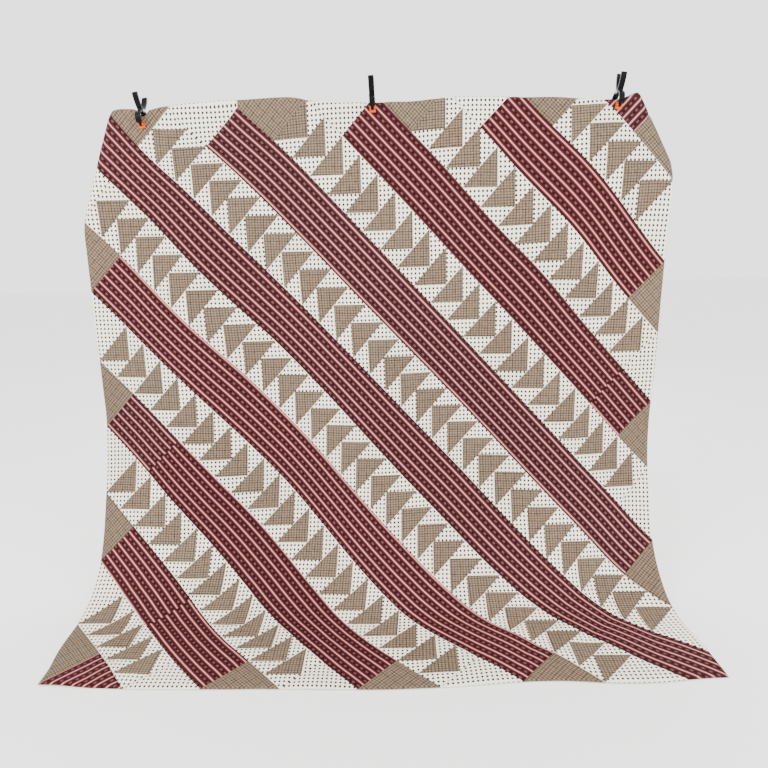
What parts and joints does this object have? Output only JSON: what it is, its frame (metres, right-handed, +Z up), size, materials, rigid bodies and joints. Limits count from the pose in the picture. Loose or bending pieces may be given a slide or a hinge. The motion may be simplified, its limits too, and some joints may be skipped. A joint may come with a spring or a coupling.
{
  "type": "quilt on a display rack",
  "caption": "Square pieced quilt clamped along a telescoping display rack's rail, hanging and sweeping forward onto the floor.",
  "frame": {"origin": "middle of the footprint's bounding box, on the floor", "axes": "+X along the rail to the viewer's right, -Y the way the quilt's face looks, +Z up"},
  "size_m": [1.8992, 0.9232, 1.6602],
  "materials": {
    "pieced_cotton": "washed quilting cotton, pieced in burgundy stripe, tan plaid and dotted cream",
    "batting": "thin cotton batting",
    "backing_cotton": "plain washed cotton",
    "black_tube": "black powder coat on steel tube",
    "black_plate": "black powder coat on steel plate",
    "black_nylon": "moulded black nylon, fine grain",
    "orange_pad": "moulded orange plastic, satin",
    "rubber": "moulded black rubber",
    "steel": "zinc-plated steel"
  },
  "bodies": {
    "stand": {"foot_pad_left_1": "rubber", "foot_pad_left_2": "rubber", "foot_pad_left_3": "rubber", "foot_pad_left_4": "rubber", "foot_pad_right_1": "rubber", "foot_pad_right_2": "rubber", "foot_pad_right_3": "rubber", "foot_pad_right_4": "rubber", "base_bolt_left": "steel", "base_plate_left": "black_plate", "spigot_left": "steel", "lower_upright_left": "black_tube", "lock_collar_left": "black_nylon", "base_bolt_right": "steel", "base_plate_right": "black_plate", "spigot_right": "steel", "lower_upright_right": "black_tube", "lock_collar_right": "black_nylon"},
    "rail": {"upper_upright_left": "black_tube", "upper_upright_right": "black_tube", "rail_bracket_left": "black_nylon", "rail_bracket_right": "black_nylon", "rail_left": "black_tube", "rail_middle": "black_tube", "rail_right": "black_tube", "rail_joiner_left": "steel", "rail_joiner_right": "steel", "rail_end_cap_left": "black_nylon", "rail_end_cap_right": "black_nylon", "quilt_top": "pieced_cotton", "quilt_batting": "batting", "quilt_backing": "backing_cotton", "clamp_left_rear_lever": "black_nylon", "clamp_left_pin": "steel", "clamp_left_spring": "steel", "clamp_left_rear_pad": "orange_pad", "clamp_middle_rear_lever": "black_nylon", "clamp_middle_pin": "steel", "clamp_middle_spring": "steel", "clamp_middle_rear_pad": "orange_pad", "clamp_right_rear_lever": "black_nylon", "clamp_right_pin": "steel", "clamp_right_spring": "steel", "clamp_right_rear_pad": "orange_pad"},
    "clamp_left_jaw": {"clamp_left_front_lever": "black_nylon"},
    "clamp_left_pad": {"clamp_left_front_pad": "orange_pad"},
    "clamp_middle_jaw": {"clamp_middle_front_lever": "black_nylon"},
    "clamp_middle_pad": {"clamp_middle_front_pad": "orange_pad"},
    "clamp_right_jaw": {"clamp_right_front_lever": "black_nylon"},
    "clamp_right_pad": {"clamp_right_front_pad": "orange_pad"},
    "lock_knob_left": {"lock_knob_left": "black_nylon"},
    "lock_knob_right": {"lock_knob_right": "black_nylon"}
  },
  "joints": [
    {"name": "rail_height", "type": "slide", "parent": "stand", "child": "rail", "axis": [0, 0, 1], "range_m": [0, 0.25]},
    {"name": "clamp_left_open", "type": "hinge", "parent": "rail", "child": "clamp_left_jaw", "pos_m": [-0.71426, 0.20861, 1.5805], "axis": [-0.9848, 0.1392, -0.1035], "range_deg": [0, 30], "stiffness_Nm_per_rad": 1.5, "springref_deg": -34.38},
    {"name": "clamp_left_pad_swivel", "type": "hinge", "parent": "clamp_left_jaw", "child": "clamp_left_pad", "pos_m": [-0.71258, 0.18868, 1.53771], "axis": [-0.9848, 0.1392, -0.1035], "range_deg": [-30, 0]},
    {"name": "clamp_middle_open", "type": "hinge", "parent": "rail", "child": "clamp_middle_jaw", "pos_m": [0.01473, 0.21096, 1.60631], "axis": [-0.9994, 0, -0.0349], "range_deg": [0, 20], "stiffness_Nm_per_rad": 1.5, "springref_deg": -34.38},
    {"name": "clamp_middle_pad_swivel", "type": "hinge", "parent": "clamp_middle_jaw", "child": "clamp_middle_pad", "pos_m": [0.01621, 0.19001, 1.564], "axis": [-0.9994, 0, -0.0349], "range_deg": [-20, 0]},
    {"name": "clamp_right_open", "type": "hinge", "parent": "rail", "child": "clamp_right_jaw", "pos_m": [0.77661, 0.21096, 1.59384], "axis": [-0.9932, -0.0523, 0.1044], "range_deg": [0, 20], "stiffness_Nm_per_rad": 1.5, "springref_deg": -34.38},
    {"name": "clamp_right_pad_swivel", "type": "hinge", "parent": "clamp_right_jaw", "child": "clamp_right_pad", "pos_m": [0.77333, 0.18951, 1.55188], "axis": [-0.9932, -0.0523, 0.1044], "range_deg": [-20, 0]},
    {"name": "lock_knob_left_turn", "type": "hinge", "parent": "stand", "child": "lock_knob_left", "pos_m": [-0.61979, 0.30491, 1.42], "axis": [0, 1, 0], "range_deg": [0, 360]},
    {"name": "lock_knob_right_turn", "type": "hinge", "parent": "stand", "child": "lock_knob_right", "pos_m": [0.62021, 0.30491, 1.42], "axis": [0, 1, 0], "range_deg": [0, 360]}
  ],
  "couplings": [
    {"joint": "clamp_left_pad_swivel", "follows": "clamp_left_open", "ratio": -1},
    {"joint": "clamp_middle_pad_swivel", "follows": "clamp_middle_open", "ratio": -1},
    {"joint": "clamp_right_pad_swivel", "follows": "clamp_right_open", "ratio": -1}
  ]
}
